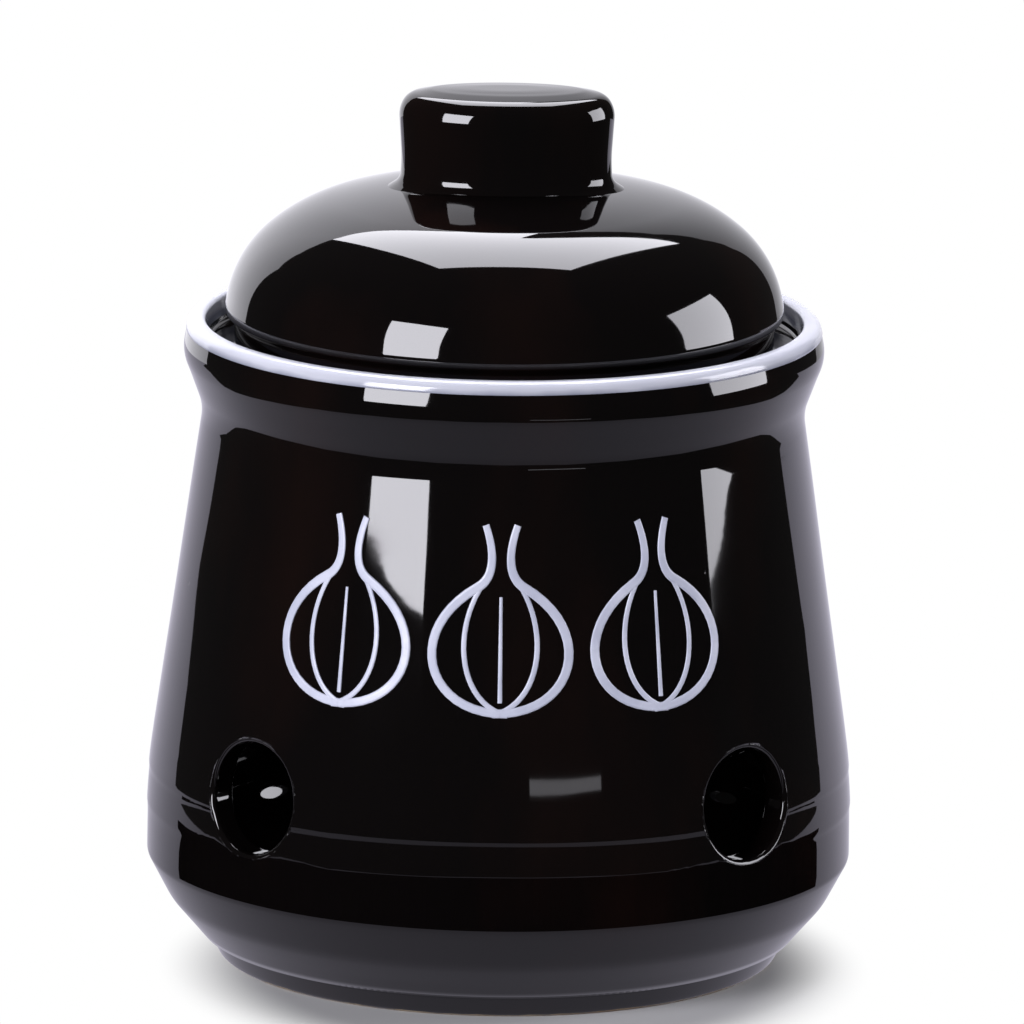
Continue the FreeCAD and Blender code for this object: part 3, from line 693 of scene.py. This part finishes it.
def makeKnob():
    bm = turnedMesh(knob["outside"], knob)
    flatten, start = knob["flatten"] * mm, knob["flattenFrom"] * mm
    for vert in bm.verts:
        radius = math.hypot(vert.co.x, vert.co.y)
        vert.co.y *= 1 - flatten / max(radius, start)
    drawn = turnedMesh(knob["hollow"], knob)
    bmesh.ops.scale(drawn, vec=(1, knob["hollowSqueeze"], 1), verts=drawn.verts[:])
    hollow = bpy.data.meshes.new("knobHollow")
    drawn.to_mesh(hollow)
    drawn.free()
    bm.from_mesh(hollow)
    bpy.data.meshes.remove(hollow)
    bmesh.ops.bridge_loops(bm, edges=[edge for edge in bm.edges if edge.is_boundary])
    return finishPiece(bm, "ovalKnob", "lid", blackGlaze, ["lid_knob"])


motif = {
    "count": 3,
    "pitch": 28.0,  # along the wall
    "width": 24.0,
    "height": 34.0,
    "bottom": 55.5,
    "pen": 1.6,
    "penRoundness": 4,
    "relief": 0.16,
    "flatness": 2.2,  # how squarely a stroke rises to its flat top
    "crown": 0.1,  # how much of its roundness that top keeps
    "strokes": (  # curves as (across, up) in shares of a bulb, the pen's swell at each knot, if mirrored
        (
            (
                (-0.05, 0.002), (0.53, -0.006), (0.70, 0.44), (0.17, 0.67), (0.03, 0.73), (0.06, 0.88),
                (0.12, 1.0),
            ),
            (0.95, 1.05, 0.8), True,
        ),
        (((0.0, 0.006), (0.30, 0.10), (0.34, 0.46), (0.13, 0.69)), (0.6, 0.55), True),
        (((0.0, 0.06), (0.0, 0.2), (0.0, 0.4), (0.0, 0.62)), (0.5, 0.35), False),
    ),
    "smoothness": 20,
}


def drawStroke(curve, poles, swells):
    # one pen stroke over the poles, a knot at every third
    spline = curve.splines.new("BEZIER")
    spline.bezier_points.add(len(swells) - 1)
    for number, (point, swell) in enumerate(zip(spline.bezier_points, swells)):
        knot = number * 3
        point.handle_left_type = point.handle_right_type = "FREE"
        point.co = poles[knot]
        point.handle_left = poles[max(knot - 1, 0)]
        point.handle_right = poles[min(knot + 1, len(poles) - 1)]
        point.radius = swell


def drawBulb():
    # one bulb drawn flat with a round pen, as a mesh
    curve = bpy.data.curves.new("drawnBulb", "CURVE")
    curve.dimensions = "3D"
    curve.bevel_depth = motif["pen"] / 2 * mm
    curve.bevel_resolution = motif["penRoundness"]
    curve.resolution_u = motif["smoothness"]
    curve.use_fill_caps = True
    low = motif["bottom"] + motif["pen"] / 2
    tall = motif["height"] - motif["pen"]
    for shares, swells, mirrored in motif["strokes"]:
        for side in (1, -1) if mirrored else (1,):
            wide = side * motif["width"]
            poles = [Vector((across * wide, 0, low + up * tall)) * mm for across, up in shares]
            drawStroke(curve, poles, swells)
    drawn = bpy.data.objects.new("drawnBulb", curve)
    bpy.context.scene.collection.objects.link(drawn)
    bulb = bpy.data.meshes.new_from_object(drawn)
    bpy.data.objects.remove(drawn)
    bpy.data.curves.remove(curve)
    return bulb


def makeMotif():
    # the bulbs pressed thin and laid round the wall
    bulb = drawBulb()
    rows = outlineRows(jar["outside"], jar)
    bm = bmesh.new()
    middleRadius = radiusAt(rows, (motif["bottom"] + motif["height"] / 2) * mm)
    for number in range(motif["count"]):
        before = len(bm.verts)
        bm.from_mesh(bulb)
        bm.verts.ensure_lookup_table()
        offset = (number - (motif["count"] - 1) / 2) * motif["pitch"] * mm
        for vert in bm.verts[before:]:
            turn = (vert.co.x + offset) / middleRadius
            rise = -vert.co.y / (motif["pen"] / 2 * mm)
            pressed = min(abs(rise) * motif["flatness"], 1) + abs(rise) * motif["crown"]
            radius = radiusAt(rows, vert.co.z) + math.copysign(pressed, rise) * motif["relief"] * mm
            vert.co.x, vert.co.y = radius * math.sin(turn), -radius * math.cos(turn)
    bpy.data.meshes.remove(bulb)
    return finishPiece(bm, "enamelBulbs", "jar", motifEnamel, ["front_motif"])


for maker in (makeJar, makeFoot, makeBand, makeLid, makeFlange, makeKnob, makeMotif):
    piece = maker()
    print("made", piece.name, sum(len(face.vertices) - 2 for face in piece.data.polygons), "triangles")


keeperMiddle = (0, 0, 0.077)  # in m, at half of its height

view = {
    "distance": 2.5,
    "elevation": 12.6,
    "lens": 499.0,
    "sensor": 36,
    "shift": (10 / 1024, 11 / 1024),  # shares of the picture's width
    "roll": 0.7,  # degrees
}


def direction(azimuth, elevation):
    # a unit vector away from the keeper: azimuth from the front, positive to the right
    flat = math.cos(math.radians(elevation))
    turned = math.radians(azimuth)
    return Vector((math.sin(turned) * flat, -math.cos(turned) * flat, math.sin(math.radians(elevation))))


def addCamera():
    data = bpy.data.cameras.new("frontCamera")
    data.lens = view["lens"]
    data.sensor_width = view["sensor"]
    data.shift_x, data.shift_y = view["shift"]
    camera = bpy.data.objects.new("frontCamera", data)
    away = direction(0, view["elevation"])
    camera.location = Vector(keeperMiddle) + away * view["distance"]
    turned = away.to_track_quat("Z", "Y") @ Quaternion((0, 0, 1), math.radians(view["roll"]))
    camera.rotation_euler = turned.to_euler()
    bpy.context.scene.collection.objects.link(camera)
    bpy.context.scene.camera = camera


studio = {  # corners and reaches in mm
    "softboxes": (  # name, azimuths, elevations, distance in m, radiance
        ("leftSoftbox", (-49.5, -26.5), (2.4, 33.0), 1.0, 16.0),
        ("rightSoftbox", (77.8, 106.0), (-0.4, 30.0), 1.0, 8.6),
    ),
    "lampColour": "#f8f7ff",
    "backdrop": (
        (-715, 600, 0), (390, 600, 0), (340, 600, 500), (250, 600, 640), (-350, 600, 690), (-470, 600, 660),
        (-715, 600, 520),
    ),
    "backdropRadiance": (1.75, 0.6),  # at its left and at its right
    "backdropReach": 350,  # to each side, over which it falls from the one to the other
    "panel": (  # with the gap that its bracket leaves at the back
        (-168, 60, 740), (168, 60, 740), (420, 670, 740), (50, 670, 740), (48, 505, 740), (24, 505, 740),
        (22, 670, 740), (-420, 670, 740),
    ),
    "panelRadiance": 9.0,
    # a narrow card low in front, for the pale bar on the belly
    "frontCard": ((23, -159, 46.3), (73, -141, 46.3), (73, -141, 49.1), (23, -159, 49.1)),
    "frontRadiance": 1.9,
    "roomGlow": 0.03,  # of the dark room round the cards and lamps
}

paper = {
    "corners": (  # of the sheet underfoot; the room past its round front edge is dark
        (0, -195, 0), (75, -180, 0), (138, -138, 0), (180, -75, 0), (197, 0, 0), (200, 45, 0), (205, 85, 0),
        (235, 130, 0), (345, 235, 0), (460, 357, 0), (800, 600, 0),
        (-690, 600, 0), (-455, 420, 0), (-377, 275, 0), (-300, 195, 0), (-225, 125, 0), (-205, 85, 0),
        (-200, 45, 0), (-197, 0, 0), (-180, -75, 0), (-138, -138, 0), (-75, -180, 0),
    ),
    "throws": "#a8a8a8",  # as it lights the keeper
    "looks": "#c0c0c0",  # as it looks in the jar's shadow
    "shadowMiddle": (3.0, -14.0),
    "shadowStretch": 1.15,  # how much longer than wide the shadow is, from front to back
    "shadowReach": (50.0, 73.0),  # from its middle, where it is full and where it has gone into the white
    "glow": (0.4, 0.85),  # in reflections, at the front and at the back
    "glowFrom": (-165, 150),
    "glowColour": "#f0ecff",
}

flag = {  # black foil that stands on the paper
    "colour": "#060606",
    "radius": 105,
    "height": 17,
    "azimuth": 97,  # degrees that it reaches round to each side
    "steps": 48,
}


def addStage(name, bm, material, hidden):
    # a sheet of the studio, attached to no body of the keeper
    mesh = bpy.data.meshes.new(name)
    bm.to_mesh(mesh)
    bm.free()
    mesh.materials.append(material)
    sheet = bpy.data.objects.new(name, mesh)
    sheet.visible_camera = not hidden
    bpy.context.scene.collection.objects.link(sheet)
    return sheet


def addCard(name, corners, material, hidden):
    # a flat sheet or lit card from its corners
    bm = bmesh.new()
    for corner in corners:
        bm.verts.new(Vector(corner) * mm)
    bmesh.ops.contextual_create(bm, geom=bm.verts[:])
    addStage(name, bm, material, hidden)


def addFlag():
    # a low black arc round the front: it keeps the paper out of the belly's reflections and casts nothing
    material, tree = newMaterial("mattBlackFoil")
    matt = addNode(tree, "ShaderNodeBsdfDiffuse", Color=linear(flag["colour"]))
    addNode(tree, "ShaderNodeOutputMaterial", Surface=matt)
    bm = bmesh.new()
    start = direction(-flag["azimuth"], 0) * flag["radius"] * mm
    pen = bm.verts.new(start)
    penLine(bm, pen, start + Vector((0, 0, flag["height"] * mm)), flag["height"] * mm)
    drawn = bm.verts[:] + bm.edges[:]
    around = {"cent": (0, 0, 0), "axis": (0, 0, 1), "angle": math.radians(2 * flag["azimuth"])}
    bmesh.ops.spin(bm, geom=drawn, steps=flag["steps"], **around)
    foil = addStage("blackFlag", bm, material, True)
    foil.visible_diffuse = False
    foil.visible_shadow = False


def litMaterial(name, radiance, reach=None):
    # an even glow, or one that falls off from left to right
    material, tree = newMaterial(name)
    strength = radiance
    if reach:
        place = addNode(tree, "ShaderNodeTexCoord").outputs["Object"]
        across = addNode(tree, "ShaderNodeSeparateXYZ", Vector=place)
        left, right = radiance
        ends = {"From_Min": -reach * mm, "From_Max": reach * mm, "To_Min": left, "To_Max": right}
        strength = addNode(tree, "ShaderNodeMapRange", Value=across, **ends)
    glow = addNode(tree, "ShaderNodeEmission", Color=linear(studio["lampColour"]), Strength=strength)
    addNode(tree, "ShaderNodeOutputMaterial", Surface=glow)
    return material


def paperMaterial():
    # matt white paper: white to the camera but for the shadow where the jar stands, and a pale sheet in the
    # glaze's reflections
    material, tree = newMaterial("mattWhitePaper")
    path = addNode(tree, "ShaderNodeLightPath")
    camera, glossy = path.outputs["Is Camera Ray"], path.outputs["Is Glossy Ray"]
    throws, looks = linear(paper["throws"]), linear(paper["looks"])
    shade = addNode(tree, "ShaderNodeMix", rgba, Factor=camera, A=throws, B=looks)
    matt = addNode(tree, "ShaderNodeBsdfDiffuse", Color=shade)

    place = addNode(tree, "ShaderNodeTexCoord").outputs["Object"]
    stretch = paper["shadowStretch"]
    across, along = (middle * mm for middle in paper["shadowMiddle"])
    centring = {"Location": (-across * stretch, -along, 0), "Scale": (stretch, 1, 0)}
    centred = addNode(tree, "ShaderNodeMapping", Vector=place, **centring)
    away = addNode(tree, "ShaderNodeVectorMath", {"operation": "LENGTH"}, Vector=centred)
    soft = {"interpolation_type": "SMOOTHSTEP"}
    full, gone = (reach * mm for reach in paper["shadowReach"])
    openness = addNode(tree, "ShaderNodeMapRange", soft, Value=away, From_Min=full, From_Max=gone)
    seen = addNode(tree, "ShaderNodeMath", times, i0=openness, i1=camera)

    back = addNode(tree, "ShaderNodeSeparateXYZ", Vector=place).outputs["Y"]
    near, far = (reach * mm for reach in paper["glowFrom"])
    dim, bright = paper["glow"]
    ends = {"From_Min": near, "From_Max": far, "To_Min": dim, "To_Max": bright}
    mirrored = addNode(tree, "ShaderNodeMapRange", Value=back, **ends)
    strength = addNode(tree, "ShaderNodeMix", Factor=glossy, A=1.0, B=mirrored)
    tint = addNode(tree, "ShaderNodeMix", rgba, Factor=glossy, A=white, B=linear(paper["glowColour"]))
    glow = addNode(tree, "ShaderNodeEmission", Color=tint, Strength=strength)
    share = addNode(tree, "ShaderNodeMath", plus, i0=seen, i1=glossy)
    mixed = addNode(tree, "ShaderNodeMixShader", Fac=share, i1=matt, i2=glow)
    addNode(tree, "ShaderNodeOutputMaterial", Surface=mixed)
    return material


def addSoftbox(name, azimuths, elevations, distance, radiance):
    data = bpy.data.lights.new(name, "AREA")
    data.shape = "RECTANGLE"
    data.size = 2 * distance * math.tan(math.radians(azimuths[1] - azimuths[0]) / 2)
    data.size_y = 2 * distance * math.tan(math.radians(elevations[1] - elevations[0]) / 2)
    data.energy = radiance * math.pi * data.size * data.size_y
    data.color = linear(studio["lampColour"])[:3]
    lamp = bpy.data.objects.new(name, data)
    away = direction(sum(azimuths) / 2, sum(elevations) / 2)
    lamp.location = Vector(keeperMiddle) + away * distance
    lamp.rotation_euler = away.to_track_quat("Z", "Y").to_euler()
    lamp.visible_camera = False
    bpy.context.scene.collection.objects.link(lamp)


def addRoom():
    # white to the camera, dark to the keeper apart from the cards and lamps
    world = bpy.data.worlds.new("studio")
    bpy.context.scene.world = world
    world.use_nodes = True
    tree = world.node_tree
    tree.nodes.clear()
    camera = addNode(tree, "ShaderNodeLightPath").outputs["Is Camera Ray"]
    dark = [studio["roomGlow"]] * 3 + [1]
    sky = addNode(tree, "ShaderNodeMix", rgba, Factor=camera, A=dark, B=white)
    background = addNode(tree, "ShaderNodeBackground", Color=sky)
    addNode(tree, "ShaderNodeOutputWorld", Surface=background)


addCamera()
addRoom()
for box in studio["softboxes"]:
    addSoftbox(*box)
addCard("paperFloor", paper["corners"], paperMaterial(), False)
backdropGlow = litMaterial("litBackdrop", studio["backdropRadiance"], studio["backdropReach"])
addCard("litBackdrop", studio["backdrop"], backdropGlow, True)
addCard("overheadPanel", studio["panel"], litMaterial("overheadPanel", studio["panelRadiance"]), True)
addCard("frontCard", studio["frontCard"], litMaterial("frontCard", studio["frontRadiance"]), True)
addFlag()
bpy.context.scene.view_settings.view_transform = "Standard"
print("stage, lamps and camera set")
